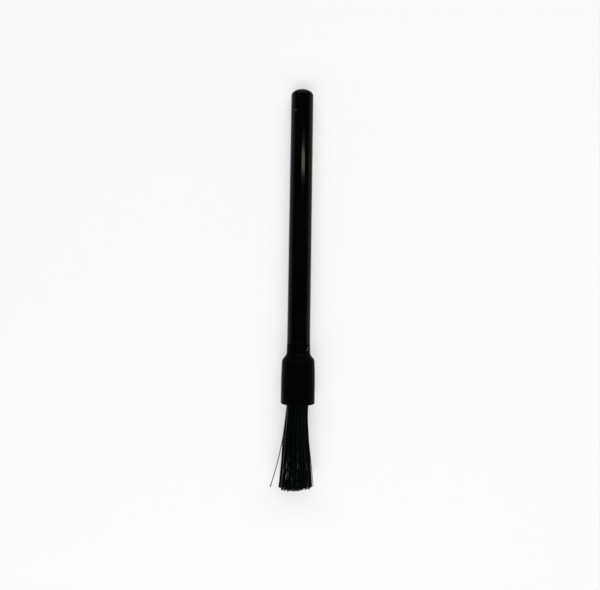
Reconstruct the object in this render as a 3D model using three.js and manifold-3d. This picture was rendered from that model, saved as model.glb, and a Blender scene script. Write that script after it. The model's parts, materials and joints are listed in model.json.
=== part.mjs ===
// A coffee machine cleaning brush: a moulded rod, the ferrule on its end, and one tuft of folded bristles.
// Units are millimetres. The brush is built upright, with the ferrule's mouth at z = 0, the rod above it and
// the bristles below it. At the end it is laid on its side on the plane z = 0, as it rests on a worktop.
import * as THREE from "three";
import { mergeVertices } from "three/addons/utils/BufferGeometryUtils.js";
import Module from "manifold-3d";

const wasm = await Module();
wasm.setup();

// Rod: its length is the part that shows, from the seam at the ferrule to the start of the dome
const rodLength = 103.3;
const rodEndDiameter = 9.25;
const rodNeckDiameter = 9.65;
const rodEdgeRound = 0.15;
const domeHeight = 2.6;
const spigotChamfer = 0.6;
const snapBeadHeight = 0.35;
const snapBeadWidth = 1.8;
const gateMarkDiameter = 1.5;
const gateMarkDepth = 0.2;
const gateMarkFromDome = 6.9;
const gateMarkAngle = THREE.MathUtils.degToRad(37);

// Ferrule: a body round the tuft's socket, a sloping shoulder, and a neck that is flush with the rod
const socketDiameter = 9.5;
const socketDepth = 11;
const ferruleWall = 2.35;
const ferruleTaper = 0.25;
const ferruleTaperLength = 8;
const ferruleBodyLength = 18.1;
const shoulderHeight = 2.4;
const shoulderRound = 0.8;
const webThickness = 2.4;
const neckLength = 4.6;
const neckFlare = 0.12;
const neckWall = 1.0;
const mouthRound = 0.3;
const mouthChamfer = 0.4;

// Anchor: the flat metal strip across the socket that the bristles are folded over
const anchorThickness = 0.4;
const anchorHeight = 2.4;
const anchorBite = 0.4;
const anchorCornerRound = 0.15;
const anchorTurn = THREE.MathUtils.degToRad(17);

// Tuft: the bristles are grouped in locks, and a lock is as thick as its pitch in the socket allows
const bristleLength = 35.3;
const tuftSpread = 2.35;
const flareStart = 4;
const locksAcrossSocket = 11;
const trimUnevenness = 0.8;
const tipWander = 0.1;

// Stray bristle: how far its tip stands out from the brush's axis and ends short of the tuft, and where it bends
const strayDiameter = 0.32;
const strayReach = 10.65;
const strayTipShort = 1.2;
const strayBendReach = 5.2;
const strayBendFromTip = 15.9;

// Clearances
const spigotClearance = 0.2;
const seatClearance = 0.1;
const anchorClearance = 0.1;
const lockGap = 0.08;
const tuftClearance = 0.1;
const foldClearance = 0.2;

// Facets
const turnSegments = 32;
const roundSteps = 4;
const lockSides = 6;
const flareSteps = 5;
const foldSteps = 6;

// Sizes that follow from the ones above
const socketRadius = socketDiameter / 2;
const ferruleRadius = socketRadius + ferruleWall;
const ferruleTopRadius = ferruleRadius - ferruleTaper;
const rodEndRadius = rodEndDiameter / 2;
const rodNeckRadius = rodNeckDiameter / 2;
const rodBoreRadius = rodNeckRadius - neckWall;
const spigotRadius = rodBoreRadius - spigotClearance;
const shoulderTop = ferruleBodyLength + shoulderHeight;
const neckTop = shoulderTop + neckLength;
const rodBoreBottom = socketDepth + webThickness;
const rodSeat = neckTop + seatClearance;
const domeStart = rodSeat + rodLength;
const spigotEnd = rodBoreBottom + spigotClearance;
const snapBeadMiddle = (spigotEnd + neckTop) / 2;
const lockPitch = socketDiameter / locksAcrossSocket;
const lockDiameter = lockPitch - lockGap;
const rootLimit = socketRadius - tuftClearance - lockDiameter / 2;
const firstRow = anchorThickness / 2 + lockGap + lockDiameter / 2;
const rowPitch = lockPitch * Math.sin(Math.PI / 3);
const lockRows = 1 + Math.floor((rootLimit - firstRow) / rowPitch);
const outerFold = firstRow + (lockRows - 1) * rowPitch + lockDiameter / 2;
const anchorTop = socketDepth - foldClearance - outerFold;
const tipScale = 1 + tuftSpread / rootLimit;
const strayTipDepth = bristleLength - strayTipShort;
const strayBendDepth = strayTipDepth - strayBendFromTip;

const glossBlack = { color: 0x0a0a0a, roughness: 0.18, metalness: 0 };
const satinBlack = { color: 0x0c0d0d, roughness: 0.45, metalness: 0 };
const nylonBlack = { color: 0x101415, roughness: 0.4, metalness: 0 };
const brass = { color: 0xb08d4a, roughness: 0.35, metalness: 1 };

// The outline of a turned piece from its corners, each [radius, height, rounding].
function turnedOutline(corners) {
  const outline = new THREE.Path();
  const points = corners.map(([radius, height]) => new THREE.Vector2(radius, height));
  outline.moveTo(points[0].x, points[0].y);
  for (let i = 1; i < points.length; i += 1) {
    const rounding = corners[i][2] ?? 0;
    const corner = points[i];
    if (rounding === 0) {
      outline.lineTo(corner.x, corner.y);
    } else {
      const into = corner.clone().sub(points[i - 1]).setLength(rounding);
      const out = points[i + 1].clone().sub(corner).setLength(rounding);
      outline.lineTo(corner.x - into.x, corner.y - into.y);
      outline.quadraticCurveTo(corner.x, corner.y, corner.x + out.x, corner.y + out.y);
    }
  }
  return outline;
}

// Turns an outline round the z axis, with the middle of a facet, not an edge, on the side that it rests on.
function turn(outline) {
  const points = outline.getPoints(roundSteps);
  points[points.length - 1].x = 0;
  return new THREE.LatheGeometry(points, turnSegments, Math.PI / turnSegments).rotateX(Math.PI / 2);
}

// A closed geometry as a solid that can be cut, with shared corners merged and faces of no area left out.
function asSolid(geometry) {
  const bare = geometry.clone();
  bare.deleteAttribute("normal");
  bare.deleteAttribute("uv");
  const merged = mergeVertices(bare);
  const corners = merged.index.array;
  const triVerts = [];
  for (let i = 0; i < corners.length; i += 3) {
    const [a, b, c] = corners.slice(i, i + 3);
    if (a !== b && b !== c && c !== a) {
      triVerts.push(a, b, c);
    }
  }
  const vertProperties = merged.attributes.position.array;
  return new wasm.Manifold(new wasm.Mesh({ numProp: 3, vertProperties, triVerts: new Uint32Array(triVerts) }));
}

function cut(geometry, cutter) {
  const mesh = asSolid(geometry).subtract(asSolid(cutter)).getMesh();
  const result = new THREE.BufferGeometry();
  result.setAttribute("position", new THREE.BufferAttribute(mesh.vertProperties, 3));
  result.setIndex(new THREE.BufferAttribute(mesh.triVerts, 1));
  return result;
}

function rodGeometry() {
  const beadHalf = snapBeadWidth / 2;
  const outline = turnedOutline([
    [0, spigotEnd],
    [spigotRadius - spigotChamfer, spigotEnd],
    [spigotRadius, spigotEnd + spigotChamfer],
    [spigotRadius, snapBeadMiddle - beadHalf],
    [spigotRadius + snapBeadHeight, snapBeadMiddle, beadHalf / 2],
    [spigotRadius, snapBeadMiddle + beadHalf],
    [spigotRadius, rodSeat],
    [rodNeckRadius, rodSeat, rodEdgeRound],
    [rodEndRadius, domeStart],
  ]);
  outline.absellipse(0, domeStart, rodEndRadius, domeHeight, 0, Math.PI / 2);
  return cut(turn(outline), gateMarkCutter());
}

// The shallow round mark that the mould's gate leaves on the side of the rod, near its end.
function gateMarkCutter() {
  const height = domeStart - gateMarkFromDome;
  const radiusThere = THREE.MathUtils.mapLinear(height, rodSeat, domeStart, rodNeckRadius, rodEndRadius);
  const outward = new THREE.Vector3(-Math.sin(gateMarkAngle), -Math.cos(gateMarkAngle), 0);
  const cutter = new THREE.CylinderGeometry(gateMarkDiameter / 2, gateMarkDiameter / 2, gateMarkDiameter, 16);
  cutter.applyQuaternion(new THREE.Quaternion().setFromUnitVectors(new THREE.Vector3(0, 1, 0), outward));
  const middle = outward.multiplyScalar(radiusThere - gateMarkDepth + gateMarkDiameter / 2);
  return cutter.translate(middle.x, middle.y, height);
}

function ferruleGeometry() {
  const grooveHalf = snapBeadWidth / 2 + spigotClearance;
  const neckBaseRadius = rodNeckRadius + neckFlare;
  const outline = turnedOutline([
    [0, socketDepth],
    [socketRadius, socketDepth],
    [socketRadius, mouthChamfer],
    [socketRadius + mouthChamfer, 0],
    [ferruleRadius, 0, mouthRound],
    [ferruleRadius, ferruleBodyLength - ferruleTaperLength],
    [ferruleTopRadius, ferruleBodyLength, shoulderRound],
    [neckBaseRadius, shoulderTop, shoulderRound],
    [rodNeckRadius, neckTop],
    [rodBoreRadius, neckTop],
    [rodBoreRadius, snapBeadMiddle + grooveHalf],
    [rodBoreRadius + snapBeadHeight, snapBeadMiddle, snapBeadWidth / 4],
    [rodBoreRadius, snapBeadMiddle - grooveHalf],
    [rodBoreRadius, rodBoreBottom],
    [0, rodBoreBottom],
  ]);
  return cut(turn(outline), anchorGeometry(anchorClearance).rotateZ(anchorTurn));
}

// The anchor strip, or with a margin all round it the notch that its ends cut in the socket's wall.
function anchorGeometry(margin) {
  const halfLength = socketRadius + anchorBite + margin;
  const halfHeight = anchorHeight / 2 + margin;
  const thickness = anchorThickness + 2 * margin;
  const round = anchorCornerRound;
  const face = new THREE.Shape();
  face.moveTo(halfLength, 0);
  face.absarc(halfLength - round, halfHeight - round, round, 0, Math.PI / 2);
  face.absarc(round - halfLength, halfHeight - round, round, Math.PI / 2, Math.PI);
  face.absarc(round - halfLength, round - halfHeight, round, Math.PI, 1.5 * Math.PI);
  face.absarc(halfLength - round, round - halfHeight, round, 1.5 * Math.PI, 2 * Math.PI);
  const strip = new THREE.ExtrudeGeometry(face, { depth: thickness, bevelEnabled: false, curveSegments: 2 });
  strip.translate(0, 0, -thickness / 2);
  return strip.rotateX(Math.PI / 2).translate(0, 0, anchorTop - anchorHeight / 2);
}

// The half turn of a bristle over the anchor's upper edge, from the -y side to the +y side.
class FoldArc extends THREE.Curve {
  constructor(x, radius) {
    super();
    this.x = x;
    this.radius = radius;
  }

  getPoint(t) {
    const angle = Math.PI * t;
    const height = anchorTop + this.radius * Math.sin(angle);
    return new THREE.Vector3(this.x, -this.radius * Math.cos(angle), height);
  }
}

// Curves end to end, each with its own number of steps, so that a tight fold gets as many as it needs.
class SteppedPath extends THREE.Curve {
  constructor(stretches) {
    super();
    this.stretches = stretches;
    this.steps = stretches.reduce((sum, [, steps]) => sum + steps, 0);
  }

  getUtoTmapping(u) {
    return u;
  }

  getPoint(t) {
    let step = Math.min(t, 1) * this.steps;
    for (const [curve, steps] of this.stretches.slice(0, -1)) {
      if (step <= steps) {
        return curve.getPoint(step / steps);
      }
      step -= steps;
    }
    const [curve, steps] = this.stretches.at(-1);
    return curve.getPoint(Math.min(step / steps, 1));
  }
}

// One folded bristle or lock of bristles: from a tip up into the socket, over the anchor, and down to its other tip.
// Each leg is a curve from the socket's mouth to a tip, and the first one is on the -y side.
function foldedGeometry(diameter, firstLeg, secondLeg) {
  const firstRoot = firstLeg.v0;
  const secondRoot = secondLeg.v0;
  const fold = new FoldArc(firstRoot.x, secondRoot.y);
  const path = new SteppedPath([
    [new THREE.QuadraticBezierCurve3(firstLeg.v2, firstLeg.v1, firstRoot), flareSteps],
    [new THREE.LineCurve3(firstRoot, fold.getPoint(0)), 1],
    [fold, foldSteps],
    [new THREE.LineCurve3(fold.getPoint(1), secondRoot), 1],
    [secondLeg, flareSteps],
  ]);
  const section = new THREE.Shape();
  section.absarc(0, 0, diameter / 2, 0, 2 * Math.PI);
  const options = { extrudePath: path, steps: path.steps, curveSegments: lockSides / 2, bevelEnabled: false };
  return new THREE.ExtrudeGeometry(section, options);
}

// A leg of a lock, which leaves the mouth straight down and then spreads evenly with the rest of the tuft.
function flaredLeg(root, seed) {
  const depth = bristleLength - trimUnevenness * scatter(seed);
  const tip = new THREE.Vector3(root.x * tipScale, root.y * tipScale, -depth);
  tip.x += tipWander * (2 * scatter(seed + 0.3) - 1);
  tip.y += tipWander * (2 * scatter(seed + 0.6) - 1);
  const below = new THREE.Vector3(root.x, root.y, -flareStart);
  return new THREE.QuadraticBezierCurve3(root, below, tip);
}

// A fixed number from 0 to 1 that looks random, the same for the same seed.
function scatter(seed) {
  const wave = 1000 * Math.sin(97 * seed + 11);
  return wave - Math.floor(wave);
}

// Where the locks stand in the socket: rows along the anchor, each half a pitch off the row before it.
function lockRoots() {
  const roots = [];
  for (let row = 0; row < lockRows; row += 1) {
    const y = firstRow + row * rowPitch;
    const reach = Math.sqrt(rootLimit ** 2 - y ** 2);
    const offset = row % 2 === 0 ? 0 : lockPitch / 2;
    const last = Math.floor((reach - offset) / lockPitch) * lockPitch + offset;
    for (let x = -last; x < reach; x += lockPitch) {
      roots.push(new THREE.Vector2(x, y));
    }
  }
  return roots;
}

function lockGeometry(root, seed) {
  const first = flaredLeg(new THREE.Vector3(root.x, -root.y, 0), seed);
  const second = flaredLeg(new THREE.Vector3(root.x, root.y, 0), seed + 0.5);
  return foldedGeometry(lockDiameter, first, second);
}

// The stray bristle lies against the socket's wall at the -x end of the first row. One of its legs bends away,
// straight to the brush's -x side, which the turn of the tuft doesn't change.
function strayGeometry() {
  const reach = socketRadius - tuftClearance - strayDiameter / 2;
  const x = -Math.sqrt(reach ** 2 - firstRow ** 2);
  const first = flaredLeg(new THREE.Vector3(x, -firstRow, 0), 0);
  const root = new THREE.Vector3(x, firstRow, 0);
  const bend = new THREE.Vector3(-strayBendReach, 0, -strayBendDepth);
  const tip = new THREE.Vector3(-strayReach, 0, -strayTipDepth);
  const axis = new THREE.Vector3(0, 0, 1);
  bend.applyAxisAngle(axis, -anchorTurn);
  tip.applyAxisAngle(axis, -anchorTurn);
  return foldedGeometry(strayDiameter, first, new THREE.QuadraticBezierCurve3(root, bend, tip));
}

function piece(name, geometry, look) {
  const mesh = new THREE.Mesh(geometry, new THREE.MeshStandardMaterial(look));
  mesh.name = name;
  return mesh;
}

// The anchor strip with the bristles folded over it.
function tuft() {
  const group = new THREE.Group();
  group.rotation.z = anchorTurn;
  group.add(piece("anchor_strip", anchorGeometry(0), brass));
  lockRoots().forEach((root, i) => {
    const number = String(i + 1).padStart(2, "0");
    group.add(piece(`bristle_lock_${number}`, lockGeometry(root, i + 1), nylonBlack));
  });
  group.add(piece("stray_bristle", strayGeometry(), nylonBlack));
  return group;
}

function uprightBrush() {
  const brush = new THREE.Group();
  brush.add(piece("handle_rod", rodGeometry(), glossBlack));
  brush.add(piece("ferrule", ferruleGeometry(), satinBlack));
  brush.add(tuft());
  return brush;
}

// Lays the brush on the plane z = 0 with its handle towards +y. It rests on the widest ring of the ferrule and on
// the thinner end of the rod, so its axis leans down a little towards the handle's end.
function layDown(brush) {
  const restSpan = domeStart - (ferruleBodyLength - ferruleTaperLength);
  const restTilt = Math.atan2(ferruleRadius - rodEndRadius, restSpan);
  brush.rotation.x = -(Math.PI / 2 + restTilt);
  const box = new THREE.Box3().setFromObject(brush, true);
  const middle = box.getCenter(new THREE.Vector3());
  brush.position.set(-middle.x, -middle.y, -box.min.z);
  return new THREE.Group().add(brush);
}

export default layDown(uprightBrush());
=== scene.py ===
"""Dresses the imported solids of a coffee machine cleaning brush, and sets up its studio.

The brush is worked out upright, stood on the ferrule's mouth with its handle up, and is then laid where the
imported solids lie. All lengths are in metres.
"""

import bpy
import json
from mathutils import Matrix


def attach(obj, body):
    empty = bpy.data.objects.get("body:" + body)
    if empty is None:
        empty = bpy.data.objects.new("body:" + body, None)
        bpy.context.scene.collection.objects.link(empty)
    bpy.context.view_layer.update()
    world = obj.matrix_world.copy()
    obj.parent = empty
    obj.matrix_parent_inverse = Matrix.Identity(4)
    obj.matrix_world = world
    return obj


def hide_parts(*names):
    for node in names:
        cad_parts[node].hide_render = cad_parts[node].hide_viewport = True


bl_info = {
    "name": "Cleaning Brush",
    "version": (1, 0, 0),
    "blender": (4, 5, 0),
    "location": "View3D > Sidebar > Brush",
    "description": "Builds a coffee machine cleaning brush around its packed solids",
    "category": "Object",
}

import json
import math
import random

import bpy
from mathutils import Matrix, Vector

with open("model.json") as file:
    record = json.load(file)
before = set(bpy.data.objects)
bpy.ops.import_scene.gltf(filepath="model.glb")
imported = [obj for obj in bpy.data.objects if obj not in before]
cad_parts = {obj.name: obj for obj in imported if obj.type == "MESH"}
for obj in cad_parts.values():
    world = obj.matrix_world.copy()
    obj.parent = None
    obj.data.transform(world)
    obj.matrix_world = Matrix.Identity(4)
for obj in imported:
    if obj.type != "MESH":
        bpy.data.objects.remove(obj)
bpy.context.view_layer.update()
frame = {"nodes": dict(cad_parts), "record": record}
NODES = frame["nodes"]
LOCKS = sorted(name for name in NODES if name.startswith("bristle_lock_"))
MM = 0.001
TAU = 2 * math.pi


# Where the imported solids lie

MOUTH_BAND = 0.001 * MM
ROOT_BAND = 0.1 * MM
TIP_BAND = 0.5 * MM
CORNER_DIGITS = 7


def laid_matrix():
    """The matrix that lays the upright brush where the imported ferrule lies, from the middle of its mouth."""
    mouth = frame["record"]["mounts"][0]
    outward = Vector(mouth["axis"]).normalized()
    corners = [v.co for v in NODES["ferrule"].data.vertices]
    face = max(c.dot(outward) for c in corners)
    ring = [c for c in corners if face - c.dot(outward) < MOUTH_BAND]
    low = Vector(min(c[i] for c in ring) for i in range(3))
    high = Vector(max(c[i] for c in ring) for i in range(3))
    up = -outward
    side = Vector((1, 0, 0))
    matrix = Matrix((side, up.cross(side), up)).transposed().to_4x4()
    matrix.translation = (low + high) / 2
    return matrix


LAID = laid_matrix()
UPRIGHT = LAID.inverted()


def upright_corners(name):
    """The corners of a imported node, each once, with the brush stood upright."""
    corners = (UPRIGHT @ v.co for v in NODES[name].data.vertices)
    return [Vector(c) for c in sorted({tuple(round(n, CORNER_DIGITS) for n in c) for c in corners})]


def turned_corners(name):
    """The corners of a packed turned node as (radius, height) pairs."""
    return [(math.hypot(c.x, c.y), c.z) for c in upright_corners(name)]


def strip_angle():
    """The angle that the anchor strip, and the tuft with it, is turned through about the brush's axis."""
    corners = upright_corners("anchor_strip")
    across = sum(c.x * c.y for c in corners)
    along = sum(c.x**2 - c.y**2 for c in corners)
    return math.atan2(2 * across, along) / 2


ROD = turned_corners("handle_rod")
FERRULE = turned_corners("ferrule")
TUFT_TURN = Matrix.Rotation(strip_angle(), 4, "Z")
STRIP_TOP = max(c.z for c in upright_corners("anchor_strip"))


def middle(corners):
    """The middle of a ring of corners."""
    return sum(corners, Vector()) / len(corners)


def lock_legs(name):
    """The (root, tip) of each leg of a packed lock or bristle, first the one on the tuft's -y side."""
    corners = [TUFT_TURN.inverted() @ c for c in upright_corners(name)]
    legs = []
    for side in (-1, 1):
        leg = [c for c in corners if side * c.y > 0]
        root = middle([c for c in leg if abs(c.z) < ROOT_BAND])
        lowest = min(c.z for c in leg)
        legs.append((root, middle([c for c in leg if c.z < lowest + TIP_BAND])))
    return legs


# Sizes, colours and the stage, as a user may change them


def length(name, description, default):
    """A property that holds a length."""
    return bpy.props.FloatProperty(
        name=name, description=description, default=default, subtype="DISTANCE", unit="LENGTH", precision=5
    )


def lengths(name, description, default):
    """A property that holds a place, or a width and a depth."""
    return bpy.props.FloatVectorProperty(
        name=name, description=description, default=default, size=len(default), subtype="XYZ_LENGTH"
    )


def angle(name, description, degrees):
    """A property that holds an angle, given in degrees."""
    return bpy.props.FloatProperty(
        name=name, description=description, default=math.radians(degrees), subtype="ANGLE", unit="ROTATION"
    )


def power(name, description, watts):
    """A property that holds a lamp's power."""
    return bpy.props.FloatProperty(name=name, description=description, default=watts, unit="POWER")


def share(name, description, default):
    """A property that holds a plain number."""
    return bpy.props.FloatProperty(name=name, description=description, default=default, precision=4)


def colour(name, description, default):
    """A property that holds a linear colour."""
    return bpy.props.FloatVectorProperty(
        name=name, description=description, default=default, min=0.0, max=1.0, subtype="COLOR", precision=4
    )


class BrushSizes(bpy.types.PropertyGroup):
    """The sizes of the brush's pieces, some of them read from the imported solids."""

    rod_tip: length("Rod tip", "Height of the dome's top over the mouth", max(z for _, z in ROD))
    rod_neck_diameter: length("Rod neck", "Diameter of the rod at the ferrule", 2 * max(r for r, _ in ROD))
    rod_end_diameter: length("Rod end", "Diameter of the rod where its dome starts", 9.25 * MM)
    dome_height: length("Dome", "Height of the rod's domed end", 2.6 * MM)
    rod_edge_round: length("Rod edge round", "Rounding of the rod's edge at the seam", 0.15 * MM)
    spigot_end: length("Spigot end", "Height of the spigot's end over the mouth", min(z for _, z in ROD))
    spigot_diameter: length("Spigot", "Diameter of the spigot inside the ferrule", 7.25 * MM)
    spigot_chamfer: length("Spigot chamfer", "Chamfer of the spigot's end", 0.6 * MM)
    seam_gap: length("Seam", "Width of the seam between rod and ferrule", 0.1 * MM)
    gate_diameter: length("Gate mark", "Diameter of the mark that the mould's gate leaves", 1.5 * MM)
    gate_depth: length("Gate mark depth", "How deep the gate's mark is", 0.2 * MM)
    gate_slope: length("Gate mark slope", "Width of the slope down into the gate's mark", 0.35 * MM)
    gate_below_dome: length("Gate mark place", "How far the gate's mark is below the dome", 6.9 * MM)
    gate_angle: angle("Gate mark side", "How far left of the upper side the gate's mark is", 37)

    ferrule_top: length("Ferrule top", "Height of the ferrule's upper edge", max(z for _, z in FERRULE))
    ferrule_diameter: length("Ferrule", "Diameter of the ferrule's body", 2 * max(r for r, _ in FERRULE))
    ferrule_taper: length("Ferrule taper", "How much the radius shrinks towards the shoulder", 0.25 * MM)
    ferrule_taper_length: length("Taper length", "Length of the tapered part of the body", 8.0 * MM)
    taper_round: length("Taper round", "Rounding where the body starts to taper", 2.0 * MM)
    ferrule_body: length("Ferrule body", "Height of the body up to the shoulder", 18.1 * MM)
    shoulder_height: length("Shoulder", "Height of the sloping shoulder", 2.4 * MM)
    shoulder_round: length("Shoulder round", "Rounding of the shoulder's edges", 0.8 * MM)
    neck_flare: length("Neck flare", "How much the neck widens towards the shoulder", 0.12 * MM)
    # The painted glint on the neck's right side runs between these two ends
    glint_top: length("Graze top", "How far under the neck's upper edge the graze starts", 0.7 * MM)
    glint_bottom: length("Graze bottom", "How far under that edge the graze ends", 2.9 * MM)
    glint_top_angle: angle("Graze top side", "How far right of the upper side the graze starts", 72)
    glint_bottom_angle: angle("Graze bottom side", "How far right of the upper side the graze ends", 44)
    bore_diameter: length("Bore", "Diameter of the bore that takes the spigot", 7.65 * MM)
    bore_bottom: length("Bore bottom", "Height of the bore's bottom", 13.4 * MM)
    socket_diameter: length("Socket", "Diameter of the socket that holds the tuft", 9.5 * MM)
    socket_depth: length("Socket depth", "Depth of that socket", 11.0 * MM)
    mouth_round: length("Mouth round", "Rounding of the mouth's outer edge", 0.3 * MM)
    mouth_chamfer: length("Mouth chamfer", "Chamfer of the mouth's inner edge", 0.4 * MM)
    edge_round: length("Edge round", "Rounding of the ferrule's other edges", 0.1 * MM)

    filament_diameter: length("Bristle", "Diameter of one bristle", 0.28 * MM)
    flare_start: length("Flare start", "Depth at which the bristles begin to spread", 4.0 * MM)
    root_closing: length("Root closing", "How far the bristles close their parting at the mouth", 0.2 * MM)
    tip_closing: length("Tip closing", "How far the bristles close that parting at their tips", 0.45 * MM)
    tuft_oval: share("Tuft oval", "How much wider the tuft is along the strip than across it", 1.045)
    lock_spread: share("Lock spread", "How much wider a lock is at its tips than at its roots", 1.62)
    lock_bow: length("Lock bow", "How far a lock bows aside from the others", 0.2 * MM)
    tip_wander: length("Tip wander", "How far a bristle's tip strays sideways within its lock", 0.16 * MM)
    tip_unevenness: length("Uneven tips", "How much the lengths of the bristles in a lock differ", 0.9 * MM)
    trim_excess: share("Trim excess", "Share of that by which a bristle may outreach its solid", 0.4)
    trim_tilt: share("Trim tilt", "How much longer the bristles are cut for each step to the left", 0.045)
    bristle_bow: length("Bristle bow", "How far a bristle bows out between root and tip", 0.25 * MM)
    bristle_wave: length("Bristle wave", "How far a bristle waves from side to side", 0.12 * MM)
    tuft_bow: length("Tuft bow", "How far the whole tuft bows to the left halfway down", 0.3 * MM)
    tuft_lean: length("Tuft lean", "How far the tips of the whole tuft lean to the left", 0.45 * MM)
    loose_end: length("Loose end", "How far one bristle at the right stands off the tuft", 1.0 * MM)
    stray_diameter: length("Stray bristle", "Diameter of the stray bristle", 0.38 * MM)
    stray_swelling: share("Stray swelling", "How much thicker the stray bristle's cut tip is", 0.35)
    stray_overhang: length("Stray overhang", "How far the stray bristle outreaches its solid", 1.1 * MM)
    stray_bend_reach: length("Stray bend reach", "How far from the axis the stray bristle bends", 5.5 * MM)
    stray_bend_rise: length("Stray bend", "How far above its solid's tip it bends", 15.9 * MM)
    stray_tone: share("Stray tone", "Tone of the stray bristle, from black to pale", 0.5)


class BrushLooks(bpy.types.PropertyGroup):
    """The colours and finishes of the brush's materials."""

    gloss_black: colour("Rod black", "Colour of the rod's polished plastic", (0.0006, 0.0006, 0.0006))
    gloss_roughness: share("Rod roughness", "Roughness of the rod's polished plastic", 0.08)
    rod_gloss: share("Rod gloss", "Specular level of the rod", 0.065)
    # This pale colour is a painted glint in the gate's mark
    gate_glint_grey: colour("Gate grey", "Colour of stressed plastic in the gate's mark", (0.045, 0.045, 0.046))
    satin_black: colour("Ferrule black", "Colour of the ferrule's satin plastic", (0.0006, 0.0007, 0.0008))
    satin_roughness: share("Ferrule roughness", "Roughness of the ferrule's satin plastic", 0.2)
    ferrule_gloss: share("Ferrule gloss", "Specular level of the ferrule", 0.012)
    # Colour of pale streaks on the ferrule's left side only
    streak_grey: colour("Scuff grey", "Colour of scuffs on the ferrule's left side", (0.016, 0.017, 0.018))
    # This colour paints a glint on the neck's right side, laid out as fine scratches
    glint_grey: colour("Graze grey", "Colour of the graze on the right side of the neck", (0.11, 0.11, 0.11))
    nylon_black: colour("Bristle black", "Colour of the bristles", (0.0005, 0.0014, 0.0017))
    nylon_grey: colour("Bristle grey", "Colour of pale bristles and of cut ends", (0.0022, 0.0032, 0.0037))
    # This colour paints glints on a few bristles near their tips
    nylon_glint: colour("Worn bristles", "Colour of the worn flecks near the tips", (0.15, 0.154, 0.161))
    nylon_roughness: share("Bristle roughness", "Roughness of the bristles", 0.16)
    nylon_gloss: share("Bristle gloss", "Specular level of the bristles", 0.05)
    strip_brass: colour("Strip brass", "Colour of the anchor strip", (0.62, 0.44, 0.19))


class BrushStage(bpy.types.PropertyGroup):
    """The floor, the studio's walls, the lamps and the camera."""

    floor_white: colour("Floor", "Colour of the floor", (0.82, 0.82, 0.82))
    floor_radius: length("Floor radius", "Radius of the floor", 3.0)
    floor_glow: colour("Floor glow", "Colour of the glow that is seen on the floor", (0.985, 0.985, 0.985))
    glow_share: share("Glow share", "How much of what is seen of the floor is its glow", 0.45)
    fade_start: length("Fade start", "How far from the brush the floor starts to fade into the walls", 0.2)
    fade_end: length("Fade end", "How far from the brush the floor has faded into the walls", 1.0)
    horizon_white: colour("Horizon", "Colour of the studio's walls", (0.86, 0.86, 0.86))
    ceiling_dark: colour("Ceiling", "Colour of the studio's ceiling", (0.02, 0.02, 0.02))
    wall_top: share("Wall top", "Height in the sky, from 0 to 1, where the walls start to darken", 0.06)
    ceiling_edge: share("Ceiling edge", "Height in the sky, from 0 to 1, where the ceiling starts", 0.4)

    box_power: power("Soft boxes", "Power of each soft box beyond the ends of the brush", 17.0)
    box_hue: colour("Soft box hue", "Colour of the soft boxes' light", (0.965, 0.978, 1.0))
    box_size: lengths("Soft box size", "Width and depth of a soft box", (2.4, 0.7))
    box_reach: length("Soft box reach", "How far a soft box stands from the picture's middle", 1.0)
    box_rise: length("Soft box rise", "How high a soft box stands over the brush", 1.0)
    strip_power: power("Strip lamp", "Power of the warm strip lamp over the handle", 0.68)
    strip_hue: colour("Strip lamp hue", "Colour of the strip lamp's light", (1.0, 0.80, 0.56))
    strip_size: lengths("Strip lamp size", "Width and depth of the strip lamp", (0.34, 0.033))
    strip_aim: length("Strip lamp aim", "Height over the mouth that the strip lamp faces", 100 * MM)
    strip_place: lengths("Strip lamp place", "Where the strip lamp stands from there", (0.19, 0.135, 0.56))
    strip_turn: angle("Strip lamp turn", "How far the strip lamp is turned about its own beam", 3.5)
    tuft_power: power("Tuft lamp", "Power of the cool lamp over the bristles", 1.0)
    tuft_hue: colour("Tuft lamp hue", "Colour of the tuft lamp's light", (0.9, 0.975, 1.0))
    tuft_size: lengths("Tuft lamp size", "Width and depth of the tuft lamp", (0.4, 0.03))
    tuft_aim: length("Tuft lamp aim", "Height over the mouth that the tuft lamp faces", -25 * MM)
    tuft_place: lengths("Tuft lamp place", "Where the tuft lamp stands from there", (-0.06, -0.26, 0.56))

    camera_height: length("Camera height", "Distance from the camera to the brush's axis", 0.26)
    frame_width: length("Frame width", "Width of the picture at the brush's axis", 0.25098)
    view_height: length("View height", "Height over the mouth of the picture's middle", 45.27 * MM)
    view_side: length("View side", "How far the picture's middle is to the right of the axis", 0.28 * MM)
    camera_roll: angle("Camera roll", "How far the brush leans to the right in the picture", 0.88)


# Shader maths


class Value:
    """A socket whose number is worked on by writing Python arithmetic."""

    def __init__(self, paint, socket):
        self.paint = paint
        self.socket = socket

    def maths(self, operation, *terms):
        return self.paint.node("ShaderNodeMath", {"operation": operation}, dict(enumerate(terms)))

    def __add__(self, other):
        return self.maths("ADD", self, other)

    def __sub__(self, other):
        return self.maths("SUBTRACT", self, other)

    def __rsub__(self, other):
        return self.maths("SUBTRACT", other, self)

    def __mul__(self, other):
        return self.maths("MULTIPLY", self, other)

    def __pow__(self, other):
        return self.maths("POWER", self, other)

    __radd__ = __add__
    __rmul__ = __mul__

    def ramp(self, start, end):
        """0 where the value is at start, 1 where it is at end, and smooth between."""
        sockets = {"Value": self, "From Min": start, "From Max": end}
        return self.paint.node("ShaderNodeMapRange", {"interpolation_type": "SMOOTHSTEP"}, sockets)


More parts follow.
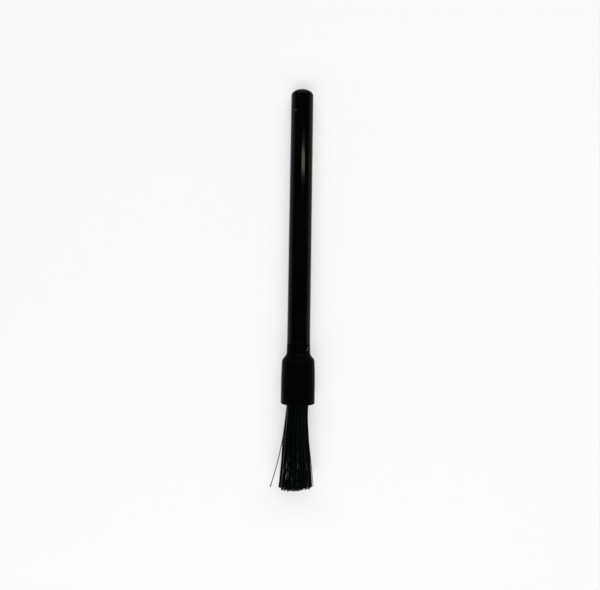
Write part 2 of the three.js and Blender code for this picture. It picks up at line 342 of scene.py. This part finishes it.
class Paint:
    """The nodes of one material or of the world."""

    def __init__(self, owner):
        owner.use_nodes = True
        self.tree = owner.node_tree
        self.tree.nodes.clear()

    def node(self, kind, settings, sockets, output=0):
        """Adds a node, sets it, fills its sockets with values or links, and gives one of its outputs."""
        made = self.tree.nodes.new(kind)
        for name, setting in settings.items():
            setattr(made, name, setting)
        for key, content in sockets.items():
            if isinstance(content, Value):
                self.tree.links.new(content.socket, made.inputs[key])
            else:
                made.inputs[key].default_value = content
        return Value(self, made.outputs[output]) if made.outputs else None

    def place(self):
        """The place on the brush, in metres."""
        return self.node("ShaderNodeTexCoord", {}, {}, "Object")

    def part(self, vector, axis):
        """One of the three numbers of a vector."""
        return self.node("ShaderNodeSeparateXYZ", {}, {0: vector}, axis)

    def vector_maths(self, operation, sockets, output=0):
        return self.node("ShaderNodeVectorMath", {"operation": operation}, sockets, output)

    def distance(self, vector, point):
        return self.vector_maths("DISTANCE", {0: vector, 1: point}, "Value")

    def stretched(self, vector, factors):
        return self.vector_maths("MULTIPLY", {0: vector, 1: factors})

    def drawn_out(self, vector, direction, amount):
        """A place on which noise is drawn out into streaks along a direction, by a share of up to 1."""
        along = self.vector_maths("DOT_PRODUCT", {0: vector, 1: direction}, "Value")
        back = self.vector_maths("SCALE", {0: direction, "Scale": along * amount})
        return self.vector_maths("SUBTRACT", {0: vector, 1: back})

    def noise(self, vector, grain, detail=2.0):
        """Noise from 0 to 1 with grains of about that size."""
        return self.node("ShaderNodeTexNoise", {}, {"Vector": vector, "Scale": 1 / grain, "Detail": detail})

    def streaks(self, vector, grain, squeeze, detail=2.0):
        """Noise that is drawn out along the brush, because its place there is squeezed to a share."""
        return self.noise(self.stretched(vector, (1, squeeze, 1)), grain, detail)

    def stored(self, name):
        """A number that is stored on the mesh."""
        return self.node("ShaderNodeAttribute", {"attribute_name": name}, {}, "Fac")

    def mixed(self, factor, first, second):
        return self.node("ShaderNodeMix", {"data_type": "RGBA"}, {0: factor, 6: first, 7: second}, 2)

    def bump(self, height, depth):
        return self.node("ShaderNodeBump", {}, {"Height": height, "Distance": depth})

    def surface(self, **sockets):
        """Ends the material in a shader whose sockets are named with _ for a space."""
        named = {key.replace("_", " "): content for key, content in sockets.items()}
        self.finish(self.node("ShaderNodeBsdfPrincipled", {}, named))

    def finish(self, shader):
        self.node("ShaderNodeOutputMaterial", {}, {"Surface": shader})


def rgba(linear, factor=1.0):
    """A linear colour, brightened by a factor, as a socket takes it."""
    return (*(factor * channel for channel in linear), 1.0)


def new_material(name):
    material = bpy.data.materials.new(name)
    return material, Paint(material)


def gloss_plastic(looks, gate):
    """Polished black plastic: smudges, hairline scratches, faint waves, a painted glint at the gate."""
    material, paint = new_material("gloss_black_plastic")
    place = paint.place()
    smudges = paint.noise(place, 7 * MM, 3.0).ramp(0.45, 0.7)
    hairlines = paint.streaks(place, 0.25 * MM, 0.03).ramp(0.62, 0.8)
    waves = paint.streaks(place, 5 * MM, 0.35, 1.0)
    peel = paint.noise(place, 0.9 * MM, 1.0)
    # The painted glint in the gate's mark is a pale patch, wider across the rod than along it
    flatness = Vector((1, 1.8, 1))
    away = paint.distance(paint.stretched(place, flatness), gate * flatness)
    shining = 1 - away.ramp(0.2 * MM, 0.7 * MM)
    plain = paint.mixed(smudges, rgba(looks.gloss_black), rgba(looks.gloss_black, 1.5))
    paint.surface(
        Base_Color=paint.mixed(shining, plain, rgba(looks.gate_glint_grey)),
        Roughness=looks.gloss_roughness + 0.03 * smudges + 0.06 * hairlines + 0.25 * shining,
        Specular_IOR_Level=looks.rod_gloss,
        Normal=paint.bump(waves + 0.06 * peel + 0.02 * hairlines, 0.02 * MM),
    )
    return material


def satin_plastic(looks, mouth, glint):
    """Satin black plastic: grain, drag lines, a rubbed mouth, pale streaks on the left, a painted glint.

    mouth is the middle of the mouth, and glint the two ends of the painted glint on the neck.
    """
    material, paint = new_material("satin_black_plastic")
    place = paint.place()
    drag = paint.streaks(place, 0.45 * MM, 0.04)
    clouds = paint.noise(place, 4 * MM, 3.0)
    grain = paint.noise(place, 0.11 * MM)
    rubbed = 1 - paint.part(place, "Y").ramp(mouth.y, mouth.y + 1.6 * MM)
    # Pale streaks, only on the ferrule's left side
    left = 1 - paint.part(place, "X").ramp(mouth.x - 6.5 * MM, mouth.x - 4.5 * MM)
    hairs = paint.streaks(place, 0.14 * MM, 0.07, 3.0).ramp(0.44, 0.74)
    streaking = clouds.ramp(0.4, 0.68) * hairs * left
    plain = paint.mixed(drag.ramp(0.4, 0.75), rgba(looks.satin_black), rgba(looks.satin_black, 1.6))
    streaked = paint.mixed(streaking, plain, rgba(looks.streak_grey))
    # A painted glint on the neck's right side: pale fine scratches along a run between its two ends
    run = glint[0] - glint[1]
    detour = paint.distance(place, glint[0]) + paint.distance(place, glint[1]) - run.length
    near_run = 1 - detour.ramp(0.0, 0.3 * MM)
    scratches = paint.noise(paint.drawn_out(place, run.normalized(), 0.93), 0.16 * MM, 3.0)
    painted_glint = (scratches + 0.42 * near_run).ramp(0.76, 1.0)
    paint.surface(
        Base_Color=paint.mixed(painted_glint, streaked, rgba(looks.glint_grey)),
        Roughness=looks.satin_roughness + 0.1 * (drag - 0.5) + 0.12 * (clouds - 0.5) - 0.1 * rubbed,
        Specular_IOR_Level=looks.ferrule_gloss,
        Normal=paint.bump(0.7 * grain + 0.5 * drag, 0.012 * MM),
    )
    return material


def nylon(looks, mouth):
    """Extruded black nylon: a tone for each bristle, fine lines, paler cut ends, painted glints near tips.

    mouth is the middle of the mouth: more of the flecks are to the left of it.
    """
    material, paint = new_material("black_nylon")
    place = paint.place()
    tone = paint.stored("tone")
    along = paint.stored("along")
    tips = along.ramp(0.9, 1.0)
    lines = paint.streaks(place, 0.06 * MM, 0.02, 1.0)
    patches = paint.streaks(place, 1.1 * MM, 0.2)
    flecks = paint.streaks(place, 0.7 * MM, 0.22).ramp(0.5, 0.64)
    pale = tone**2 * 0.5 + 0.25 * patches.ramp(0.45, 0.75) + 0.35 * tips
    plain = paint.mixed(pale, rgba(looks.nylon_black), rgba(looks.nylon_grey))
    left = 1 - paint.part(place, "X").ramp(mouth.x - 2 * MM, mouth.x + 3 * MM)
    # Painted glints: pale flecks on a few bristles near their tips, more of them on the left
    glinting = tone.ramp(0.86, 0.96) * along.ramp(0.68, 0.86) * flecks * (0.4 + 0.6 * left)
    paint.surface(
        Base_Color=paint.mixed(glinting, plain, rgba(looks.nylon_glint)),
        Roughness=looks.nylon_roughness + 0.16 * (patches - 0.5) + 0.1 * (tone - 0.5) + 0.2 * tips,
        Specular_IOR_Level=looks.nylon_gloss,
        Normal=paint.bump(lines, 0.006 * MM),
    )
    return material


def drawn_brass(looks):
    """Drawn flat brass wire: lines along the draw, and a few darker, duller spots."""
    material, paint = new_material("anchor_metal")
    place = paint.place()
    lines = paint.noise(paint.stretched(place, (0.04, 1, 1)), 0.08 * MM)
    spots = paint.noise(place, 0.7 * MM, 3.0).ramp(0.5, 0.75)
    paint.surface(
        Base_Color=paint.mixed(spots, rgba(looks.strip_brass), rgba(looks.strip_brass, 0.55)),
        Metallic=1.0,
        Roughness=0.26 + 0.12 * lines + 0.2 * spots,
        Normal=paint.bump(lines, 0.008 * MM),
    )
    return material


# Meshes

SHARP_ANGLE = math.radians(40)


def new_object(name, data):
    """An object in the scene that holds a mesh, a lamp or a camera."""
    made = bpy.data.objects.new(name, data)
    bpy.context.scene.collection.objects.link(made)
    return made


def rounded(corners, steps=8):
    """An outline from its corners, each (radius, height) or (radius, height, rounding)."""
    points = []
    for i, corner in enumerate(corners):
        here = Vector(corner[:2])
        if len(corner) == 2:
            points.append(here)
            continue
        before = here + (Vector(corners[i - 1][:2]) - here).normalized() * corner[2]
        after = here + (Vector(corners[i + 1][:2]) - here).normalized() * corner[2]
        for k in range(steps + 1):
            t = k / steps
            points.append((1 - t) ** 2 * before + 2 * t * (1 - t) * here + t**2 * after)
    return points


def laid_object(name, corners, faces, material):
    """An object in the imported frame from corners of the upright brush."""
    mesh = bpy.data.meshes.new(name)
    mesh.from_pydata([LAID @ c for c in corners], [], faces)
    mesh.validate()
    mesh.materials.append(material)
    piece = new_object(name, mesh)
    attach(piece, "root")
    return piece


def even_angles(count):
    return [TAU * i / count - math.pi for i in range(count)]


def round_point(radius, turn, height):
    """A point of the upright brush, turned to the right from the side that is up when the brush lies."""
    return Vector((radius * math.sin(turn), -radius * math.cos(turn), height))


def turned_faces(rings, sides):
    """The faces of a turned piece: a corner at each end and rings of corners between them."""
    last = 1 + rings * sides
    faces = []
    for j in range(sides):
        k = (j + 1) % sides
        faces.append((0, 1 + k, 1 + j))
        for i in range(rings - 1):
            low = 1 + i * sides
            faces.append((low + j, low + k, low + sides + k, low + sides + j))
        top = 1 + (rings - 1) * sides
        faces.append((top + j, top + k, last))
    return faces


def turned_piece(name, outline, angles, material, sunk=None):
    """A smooth closed piece turned from its outline, which starts and ends on the axis.

    sunk, if given, takes an angle, radius and height, and says how far the surface is sunk there.
    """
    corners = [Vector((0, 0, outline[0].y))]
    for radius, height in outline[1:-1]:
        for turn in angles:
            reach = radius - (sunk(turn, radius, height) if sunk else 0)
            corners.append(round_point(reach, turn, height))
    corners.append(Vector((0, 0, outline[-1].y)))
    faces = turned_faces(len(outline) - 2, len(angles))
    piece = laid_object(name, corners, faces, material)
    piece.data.shade_smooth()
    piece.data.set_sharp_from_angle(angle=SHARP_ANGLE)
    return piece


def smooth_step(value):
    value = min(max(value, 0.0), 1.0)
    return value * value * (3 - 2 * value)


# Bristles


class BristleMesh:
    """Collects round bristles, each a closed tube, with a tone and a place along it for the material."""

    SIDES = 6
    # How far a cut end stands out and how wide it is, as shares of the bristle's radius
    CUT_DEPTH = 0.3
    CUT_RADIUS = 0.62

    def __init__(self):
        self.corners = []
        self.faces = []
        self.flat = []
        self.tone = []
        self.along = []

    def add(self, path, radius, tone, swelling=0.0):
        """Adds a bristle along (point, place along its leg) pairs, with its last tip swollen by a share."""
        first = len(self.corners)
        points = [p for p, _ in path]
        tangents = []
        for i in range(len(points)):
            tangents.append((points[min(i + 1, len(points) - 1)] - points[max(i - 1, 0)]).normalized())
        cut = self.CUT_DEPTH * radius
        end_radius = radius * (1 + swelling)
        rings = [(points[0] - tangents[0] * cut, tangents[0], self.CUT_RADIUS * radius, 1.0)]
        for (point, along), tangent in zip(path[:-1], tangents):
            rings.append((point, tangent, radius, along))
        rings.append((points[-1], tangents[-1], end_radius, 1.0))
        rings.append((points[-1] + tangents[-1] * cut, tangents[-1], self.CUT_RADIUS * end_radius, 1.0))
        across = tangents[0].orthogonal().normalized()
        for centre, normal, ring_radius, along in rings:
            across = (across - normal * across.dot(normal)).normalized()
            self.add_ring(centre, ring_radius, across, normal.cross(across))
            self.tone += [tone] * self.SIDES
            self.along += [along] * self.SIDES
        self.close(first, len(rings))

    def add_ring(self, centre, radius, across, other):
        for k in range(self.SIDES):
            turn = TAU * k / self.SIDES
            self.corners.append(centre + radius * (math.cos(turn) * across + math.sin(turn) * other))

    def close(self, first, rings):
        """Adds the sides and the two flat ends of a tube whose first corner is given."""
        sides = self.SIDES
        for i in range(rings - 1):
            low = first + i * sides
            for j in range(sides):
                k = (j + 1) % sides
                self.faces.append((low + j, low + k, low + sides + k, low + sides + j))
                self.flat.append(False)
        last = first + (rings - 1) * sides
        self.faces.append(tuple(first + sides - 1 - j for j in range(sides)))
        self.faces.append(tuple(last + j for j in range(sides)))
        self.flat += [True, True]

    def piece(self, name, material):
        """The bristles as one object."""
        made = laid_object(name, self.corners, self.faces, material)
        made.data.attributes.new("sharp_face", "BOOLEAN", "FACE").data.foreach_set("value", self.flat)
        for label, numbers in (("tone", self.tone), ("along", self.along)):
            made.data.attributes.new(label, "FLOAT", "POINT").data.foreach_set("value", numbers)
        return made


def leg_path(root, bend, tip, bow=Vector(), wave=Vector(), steps=14):
    """A leg from root to tip, bent at a point, bowed and waved aside, as (point, place along it) pairs."""
    path = []
    for i in range(steps + 1):
        t = i / steps
        point = (1 - t) ** 2 * root + 2 * t * (1 - t) * bend + t**2 * tip
        path.append((point + bow * math.sin(math.pi * t) ** 2 + wave * math.sin(2 * TAU * t) * t, t))
    return path


def folded_path(first, second, over, fold_steps=8):
    """A bristle from its first leg's tip, over the anchor strip beside a point, to its second leg's tip."""
    fold = []
    for i in range(fold_steps + 1):
        turn = math.pi * i / fold_steps
        fold.append((Vector((over.x, -over.y * math.cos(turn), STRIP_TOP + over.y * math.sin(turn))), 0.0))
    return [(TUFT_TURN @ p, t) for p, t in first[::-1] + fold + second]


def scattered(draw, amount):
    """A sideways move of at most about that amount."""
    return Vector((draw.uniform(-amount, amount), draw.uniform(-amount, amount), 0))


def closed_up(point, closing, edge):
    """A point moved towards the parting over the strip, the less the nearer it is to the tuft's edge."""
    away = abs(point.y)
    away = max(0.0, away - closing * max(0.0, 1 - away / edge))
    return Vector((point.x, math.copysign(away, point.y), point.z))


def packed_offsets(pitch, turn, count=6):
    """One bristle in the middle of a lock and a ring round it, as (along the strip, away from the strip)."""
    ring = [turn + TAU * k / count for k in range(count)]
    return [(0.0, 0.0), *((pitch * math.cos(a), pitch * math.sin(a)) for a in ring)]


class Tuft:
    """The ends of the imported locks, and the bristles that are made in each of them."""

    def __init__(self, sizes):
        self.sizes = sizes
        self.left = TUFT_TURN.inverted() @ Vector((-1, 0, 0))
        self.legs = {name: lock_legs(name) for name in LOCKS}
        roots = [root for legs in self.legs.values() for root, _ in legs]
        tips = [tip for legs in self.legs.values() for _, tip in legs]
        self.mouth = max(root.to_2d().length for root in roots)
        self.reach = max(tip.to_2d().length for tip in tips) + sizes.filament_diameter / 2
        self.lowest = min(tip.z for tip in tips)
        self.rightmost = min(tips, key=self.left.dot)

    def cut_end(self, draw, tip, shift):
        """Where a bristle ends that lies a shift away from the middle of its lock, whose tip is given."""
        s = self.sizes
        end = tip + shift * s.lock_spread + scattered(draw, s.tip_wander)
        end *= min(1.0, self.reach / end.to_2d().length)
        end = closed_up(end, s.tip_closing, self.reach) + self.left * s.tuft_lean
        end.x *= s.tuft_oval
        longer = (s.trim_excess - draw.random()) * s.tip_unevenness + s.trim_tilt * self.left.dot(tip)
        end.z = max(self.lowest, tip.z - longer)
        if tip is self.rightmost and shift.length == 0:
            end -= self.left * s.loose_end
        return end

    def leg(self, draw, root, tip, shift, lock_bow):
        """The leg of a bristle that lies a shift away from the middle of its lock."""
        s = self.sizes
        start = closed_up(root + shift, s.root_closing, self.mouth)
        end = self.cut_end(draw, tip, shift)
        bend = Vector((start.x, start.y, -s.flare_start))
        bow = lock_bow + scattered(draw, s.bristle_bow)
        return leg_path(start, bend, end, bow, scattered(draw, s.bristle_wave))

    def lock(self, name, seed):
        """The seven bristles of a lock."""
        s = self.sizes
        draw = random.Random(seed)
        mesh = BristleMesh()
        lock_bow = self.left * s.tuft_bow + scattered(draw, s.lock_bow)
        (first_root, first_tip), (second_root, second_tip) = self.legs[name]
        for along, away in packed_offsets(s.filament_diameter, draw.uniform(0, TAU)):
            first = self.leg(draw, first_root, first_tip, Vector((along, -away, 0)), lock_bow)
            shift = Vector((along, away, 0))
            second = self.leg(draw, second_root, second_tip, shift, lock_bow)
            path = folded_path(first, second, second_root + shift)
            mesh.add(path, s.filament_diameter / 2, draw.random())
        return mesh


# Operators, one for each piece or group of like pieces


class BRUSH_OT_rod(bpy.types.Operator):
    """Builds the polished rod, with its domed end, the gate's mark and the spigot inside the ferrule"""

    bl_idname = "brush.rod"
    bl_label = "Rod"

    SIDES = 128
    DOME_STEPS = 24
    # The finer mesh over the gate's mark, which reaches so many of the mark's radii from its middle
    MARK_STEPS = 40
    MARK_REACH_ALONG = 1.5
    MARK_REACH_ROUND = 1.6

    def execute(self, context):
        s = context.scene.brush_sizes
        spigot, neck, end = s.spigot_diameter / 2, s.rod_neck_diameter / 2, s.rod_end_diameter / 2
        seat = s.ferrule_top + s.seam_gap
        dome = s.rod_tip - s.dome_height
        gate = dome - s.gate_below_dome
        mark = s.gate_diameter / 2
        spread = [2 * i / self.MARK_STEPS - 1 for i in range(self.MARK_STEPS + 1)]
        mark_heights = [gate + self.MARK_REACH_ALONG * mark * t for t in spread]
        mark_angles = [self.MARK_REACH_ROUND * mark / end * t - s.gate_angle for t in spread]

        def radius_at(height):
            return neck + (end - neck) * (height - seat) / (dome - seat)

        outline = rounded([
            (0, s.spigot_end),
            (spigot - s.spigot_chamfer, s.spigot_end),
            (spigot, s.spigot_end + s.spigot_chamfer),
            (spigot, seat),
            (neck, seat, s.rod_edge_round),
            (radius_at(mark_heights[0]), mark_heights[0]),
        ])
        for height in mark_heights[1:]:
            outline.append(Vector((radius_at(height), height)))
        for i in range(self.DOME_STEPS):
            turn = math.pi / 2 * i / self.DOME_STEPS
            outline.append(Vector((end * math.cos(turn), dome + s.dome_height * math.sin(turn))))
        outline.append(Vector((0, s.rod_tip)))
        plain_angles = [a for a in even_angles(self.SIDES) if not mark_angles[0] < a < mark_angles[-1]]

        def sunk(turn, radius, height):
            away = math.hypot(radius * (turn + s.gate_angle), height - gate)
            return s.gate_depth * smooth_step((mark - away) / s.gate_slope)

        mark_place = LAID @ round_point(radius_at(gate) - s.gate_depth, -s.gate_angle, gate)
        material = gloss_plastic(context.scene.brush_looks, mark_place)
        angles = sorted(plain_angles + mark_angles)
        piece = turned_piece("rod_moulding", outline, angles, material, sunk)
        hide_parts("handle_rod")
        return {"FINISHED"}


class BRUSH_OT_ferrule(bpy.types.Operator):
    """Builds the satin ferrule, with its socket, shoulder and the neck that is flush with the rod"""

    bl_idname = "brush.ferrule"
    bl_label = "Ferrule"

    SIDES = 160

    def execute(self, context):
        s = context.scene.brush_sizes
        body, socket, bore = s.ferrule_diameter / 2, s.socket_diameter / 2, s.bore_diameter / 2
        neck = s.rod_neck_diameter / 2
        outline = rounded([
            (0, s.socket_depth),
            (socket, s.socket_depth),
            (socket, s.mouth_chamfer, s.edge_round),
            (socket + s.mouth_chamfer, 0, s.edge_round),
            (body, 0, s.mouth_round),
            (body, s.ferrule_body - s.ferrule_taper_length, s.taper_round),
            (body - s.ferrule_taper, s.ferrule_body, s.shoulder_round),
            (neck + s.neck_flare, s.ferrule_body + s.shoulder_height, s.shoulder_round),
            (neck, s.ferrule_top, s.edge_round),
            (bore, s.ferrule_top),
            (bore, s.bore_bottom),
            (0, s.bore_bottom),
        ])
        # The two ends of the painted glint on the neck
        glint = [
            LAID @ round_point(neck, s.glint_top_angle, s.ferrule_top - s.glint_top),
            LAID @ round_point(neck, s.glint_bottom_angle, s.ferrule_top - s.glint_bottom),
        ]
        material = satin_plastic(context.scene.brush_looks, LAID.translation, glint)
        angles = even_angles(self.SIDES)
        piece = turned_piece("ferrule_moulding", outline, angles, material)
        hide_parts("ferrule")
        return {"FINISHED"}


class BRUSH_OT_strip(bpy.types.Operator):
    """Gives the anchor strip inside the socket its drawn brass"""

    bl_idname = "brush.strip"
    bl_label = "Anchor strip"

    def execute(self, context):
        materials = NODES["anchor_strip"].data.materials
        materials.clear()
        materials.append(drawn_brass(context.scene.brush_looks))
        return {"FINISHED"}


class BRUSH_OT_tuft(bpy.types.Operator):
    """Builds the tuft: in each packed lock, seven bristles that are folded over the anchor strip"""

    bl_idname = "brush.tuft"
    bl_label = "Tuft"

    def execute(self, context):
        tuft = Tuft(context.scene.brush_sizes)
        material = nylon(context.scene.brush_looks, LAID.translation)
        for number, name in enumerate(LOCKS):
            piece = tuft.lock(name, number).piece(name.replace("bristle_lock", "bristles"), material)
            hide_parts(name)
        return {"FINISHED"}


class BRUSH_OT_stray(bpy.types.Operator):
    """Builds the one bristle that stands away from the tuft"""

    bl_idname = "brush.stray"
    bl_label = "Stray bristle"

    STEPS = 20

    def execute(self, context):
        s = context.scene.brush_sizes
        (root, tip), (stray_root, stray_tip) = lock_legs("stray_bristle")
        inner = leg_path(root, Vector((root.x, root.y, -s.flare_start)), tip)
        out = Vector((stray_tip.x, stray_tip.y, 0)).normalized()
        bend = out * s.stray_bend_reach + Vector((0, 0, stray_tip.z + s.stray_bend_rise))
        stray_end = stray_tip + (stray_tip - bend).normalized() * s.stray_overhang
        outer = leg_path(stray_root, bend, stray_end, steps=self.STEPS)
        path = folded_path(inner, outer, stray_root)
        mesh = BristleMesh()
        mesh.add(path, s.stray_diameter / 2, s.stray_tone, s.stray_swelling)
        piece = mesh.piece("bristle_astray", bpy.data.materials["black_nylon"])
        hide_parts("stray_bristle")
        return {"FINISHED"}


class BRUSH_OT_stage(bpy.types.Operator):
    """Sets up the floor, the studio's walls, the lamps and the camera"""

    bl_idname = "brush.stage"
    bl_label = "Stage"

    FLOOR_SIDES = 96

    def execute(self, context):
        t = context.scene.brush_stage
        self.make_floor(t)
        self.make_walls(context.scene, t)
        brush = LAID @ Vector((0, 0, t.view_height))
        for name, way in (("box_far", 1), ("box_near", -1)):
            place = brush + Vector((0, way * t.box_reach, t.box_rise))
            self.make_lamp(name, place, brush, t.box_size, t.box_power, t.box_hue)
        handle = LAID @ Vector((0, 0, t.strip_aim))
        place = handle + Vector(t.strip_place)
        self.make_lamp("strip", place, handle, t.strip_size, t.strip_power, t.strip_hue, t.strip_turn)
        bristles = LAID @ Vector((0, 0, t.tuft_aim))
        place = bristles + Vector(t.tuft_place)
        self.make_lamp("over_tuft", place, bristles, t.tuft_size, t.tuft_power, t.tuft_hue)
        self.make_camera(context.scene, t)
        context.scene.view_settings.view_transform = "Standard"
        return {"FINISHED"}

    def make_floor(self, t):
        angles = even_angles(self.FLOOR_SIDES)
        rim = [(t.floor_radius * math.cos(a), t.floor_radius * math.sin(a), 0) for a in angles]
        mesh = bpy.data.meshes.new("floor")
        mesh.from_pydata(rim, [], [tuple(range(len(rim)))])
        mesh.materials.append(self.floor_material(t))
        new_object("floor", mesh)

    def floor_material(self, t):
        """Plain white whose glow lightens the shadow, and fades into the walls so that no horizon shows."""
        material, paint = new_material("floor_white")
        sockets = {"Base Color": rgba(t.floor_white), "Roughness": 0.9, "Specular IOR Level": 0.1}
        lit = paint.node("ShaderNodeBsdfPrincipled", {}, sockets)
        far = paint.distance(paint.place(), (0, 0, 0)).ramp(t.fade_start, t.fade_end)
        hue = paint.mixed(far, rgba(t.floor_glow), rgba(t.horizon_white))
        glow = paint.node("ShaderNodeEmission", {}, {"Color": hue})
        rays = ("Is Camera Ray", "Is Glossy Ray", "Is Transmission Ray")
        seen = sum(paint.node("ShaderNodeLightPath", {}, {}, ray) for ray in rays)
        glowing = (t.glow_share + (1 - t.glow_share) * far) * seen
        paint.finish(paint.node("ShaderNodeMixShader", {}, {0: glowing, 1: lit, 2: glow}))
        return material

    def make_walls(self, scene, t):
        scene.world = bpy.data.worlds.new("studio")
        paint = Paint(scene.world)
        direction = paint.node("ShaderNodeTexCoord", {}, {}, "Generated")
        dark = paint.part(direction, "Z").ramp(t.wall_top, t.ceiling_edge)
        hue = paint.mixed(dark, rgba(t.horizon_white), rgba(t.ceiling_dark))
        shader = paint.node("ShaderNodeBackground", {}, {"Color": hue})
        paint.node("ShaderNodeOutputWorld", {}, {"Surface": shader})

    def make_lamp(self, name, place, target, size, watts, hue, turn=0.0):
        """A flat lamp that faces a target, with its width level until it is turned about its beam."""
        lamp = bpy.data.lights.new(name, "AREA")
        lamp.shape = "RECTANGLE"
        lamp.size, lamp.size_y = size
        lamp.energy = watts
        lamp.color = hue
        back = (place - target).normalized()
        up = back.cross(Vector((1, 0, 0))).normalized()
        facing = Matrix((up.cross(back), up, back)).transposed().to_4x4()
        facing = facing @ Matrix.Rotation(turn, 4, "Z")
        new_object(name, lamp).matrix_world = Matrix.Translation(place) @ facing

    def make_camera(self, scene, t):
        camera = bpy.data.cameras.new("camera")
        camera.lens = camera.sensor_width * t.camera_height / t.frame_width
        camera.clip_start = 0.01
        look = Matrix.Translation((t.view_side, -t.camera_height, t.view_height))
        look = look @ Matrix.Rotation(math.pi / 2, 4, "X") @ Matrix.Rotation(t.camera_roll, 4, "Z")
        scene.camera = new_object("camera", camera)
        scene.camera.matrix_world = LAID @ look


class BRUSH_PT_sidebar(bpy.types.Panel):
    """Lists the brush's sizes, looks and stage, and builds its pieces"""

    bl_idname = "BRUSH_PT_sidebar"
    bl_label = "Cleaning Brush"
    bl_space_type = "VIEW_3D"
    bl_region_type = "UI"
    bl_category = "Brush"

    def draw(self, context):
        for operator in OPERATORS:
            self.layout.operator(operator.bl_idname)
        for group in (context.scene.brush_sizes, context.scene.brush_looks, context.scene.brush_stage):
            column = self.layout.column(align=True)
            for name in group.__annotations__:
                column.prop(group, name)


GROUPS = {"brush_sizes": BrushSizes, "brush_looks": BrushLooks, "brush_stage": BrushStage}
OPERATORS = (BRUSH_OT_rod, BRUSH_OT_ferrule, BRUSH_OT_strip, BRUSH_OT_tuft, BRUSH_OT_stray, BRUSH_OT_stage)
CLASSES = (*GROUPS.values(), *OPERATORS, BRUSH_PT_sidebar)


def register():
    for cls in CLASSES:
        bpy.utils.register_class(cls)
    for name, group in GROUPS.items():
        setattr(bpy.types.Scene, name, bpy.props.PointerProperty(type=group))


def unregister():
    for name in GROUPS:
        delattr(bpy.types.Scene, name)
    for cls in reversed(CLASSES):
        bpy.utils.unregister_class(cls)


def main():
    register()
    bpy.ops.brush.rod()
    bpy.ops.brush.ferrule()
    bpy.ops.brush.strip()
    bpy.ops.brush.tuft()
    bpy.ops.brush.stray()
    bpy.ops.brush.stage()


if __name__ == "__main__":
    main()
